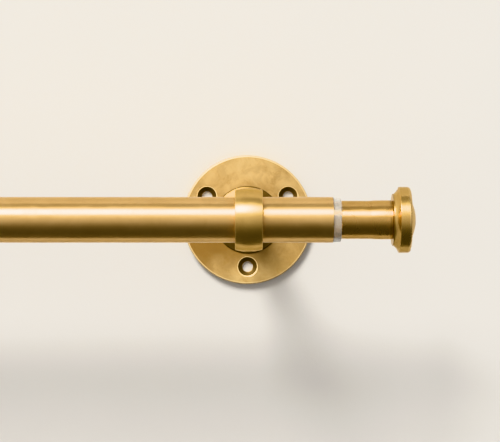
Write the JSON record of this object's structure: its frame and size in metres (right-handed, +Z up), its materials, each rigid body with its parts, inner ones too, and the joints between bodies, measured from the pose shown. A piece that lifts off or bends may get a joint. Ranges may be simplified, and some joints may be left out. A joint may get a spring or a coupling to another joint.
{
  "type": "adjustable curtain rod with wall brackets",
  "caption": "Telescoping round curtain rod in antique brass, held in crowned rings on round countersunk wall flanges, with stepped, low-domed disc finials.",
  "frame": {"origin": "centre of the right wall bracket's flange, on its wall face, which is the centre of its circle of three screw holes", "axes": "+X along the rod towards the end with the telescoping inner tube, +Y into the wall, +Z up; the room is on the -Y side and the rod's centre line is at Y = -0.076"},
  "size_m": [0.7237, 0.0897, 0.059],
  "materials": {
    "tube_brass": "satin lacquered antique brass, smooth along the tube",
    "finial_brass": "satin turned brass with fine turning marks",
    "bracket_brass": "brass brushed around the ring, with bright edges",
    "patina_brass": "mottled, softly brushed antique brass with brown patches and a bright worn rim",
    "clear_plastic": "translucent milky plastic",
    "white_plastic": "satin white nylon",
    "screw_steel": "plain zinc-plated steel"
  },
  "bodies": {
    "right_bracket": {"right_wall_flange": "patina_brass", "right_boss": "patina_brass", "right_post": "bracket_brass", "right_ring": "bracket_brass", "right_post_screw": "screw_steel"},
    "right_lock": {"right_grub_screw": "screw_steel"},
    "left_bracket": {"left_wall_flange": "patina_brass", "left_boss": "patina_brass", "left_post": "bracket_brass", "left_ring": "bracket_brass", "left_post_screw": "screw_steel"},
    "left_lock": {"left_grub_screw": "screw_steel"},
    "outer_rod": {"outer_tube": "tube_brass", "end_collar": "clear_plastic", "left_adapter": "clear_plastic", "left_insert": "screw_steel"},
    "inner_rod": {"inner_tube": "tube_brass", "inner_glide": "white_plastic", "right_insert": "screw_steel"},
    "right_finial_sleeve": {"right_finial_neck": "finial_brass"},
    "right_finial_knob": {"right_finial_cap": "finial_brass", "right_finial_stud": "screw_steel"},
    "left_finial_sleeve": {"left_finial_neck": "finial_brass"},
    "left_finial_knob": {"left_finial_cap": "finial_brass", "left_finial_stud": "screw_steel"}
  },
  "joints": [
    {"name": "rod_slide", "type": "slide", "parent": "right_bracket", "child": "outer_rod", "axis": [1, 0, 0], "range_m": [-0.025, 0.025]},
    {"name": "rod_extend", "type": "slide", "parent": "outer_rod", "child": "inner_rod", "axis": [1, 0, 0], "range_m": [-0.0115, 0.4965]},
    {"name": "bracket_spacing", "type": "slide", "parent": "right_bracket", "child": "left_bracket", "axis": [1, 0, 0], "range_m": [0, 0.4]},
    {"name": "right_grub_travel", "type": "slide", "parent": "right_bracket", "child": "right_lock", "axis": [0, 0, -1], "range_m": [-0.0002, 0.003]},
    {"name": "left_grub_travel", "type": "slide", "parent": "left_bracket", "child": "left_lock", "axis": [0, 0, -1], "range_m": [-0.0002, 0.003]},
    {"name": "right_finial_travel", "type": "slide", "parent": "inner_rod", "child": "right_finial_sleeve", "axis": [1, 0, 0], "range_m": [0, 0.0081]},
    {"name": "right_finial_turn", "type": "hinge", "parent": "right_finial_sleeve", "child": "right_finial_knob", "pos_m": [0.0504, -0.076, 0], "axis": [1, 0, 0], "range_deg": [0, 2880]},
    {"name": "left_finial_travel", "type": "slide", "parent": "outer_rod", "child": "left_finial_sleeve", "axis": [-1, 0, 0], "range_m": [0, 0.0081]},
    {"name": "left_finial_turn", "type": "hinge", "parent": "left_finial_sleeve", "child": "left_finial_knob", "pos_m": [-0.6353, -0.076, 0], "axis": [-1, 0, 0], "range_deg": [0, 2880]}
  ],
  "couplings": [
    {"joint": "right_finial_travel", "follows": "right_finial_turn", "m_per_rad": 0.00015915},
    {"joint": "left_finial_travel", "follows": "left_finial_turn", "m_per_rad": 0.00015915}
  ]
}
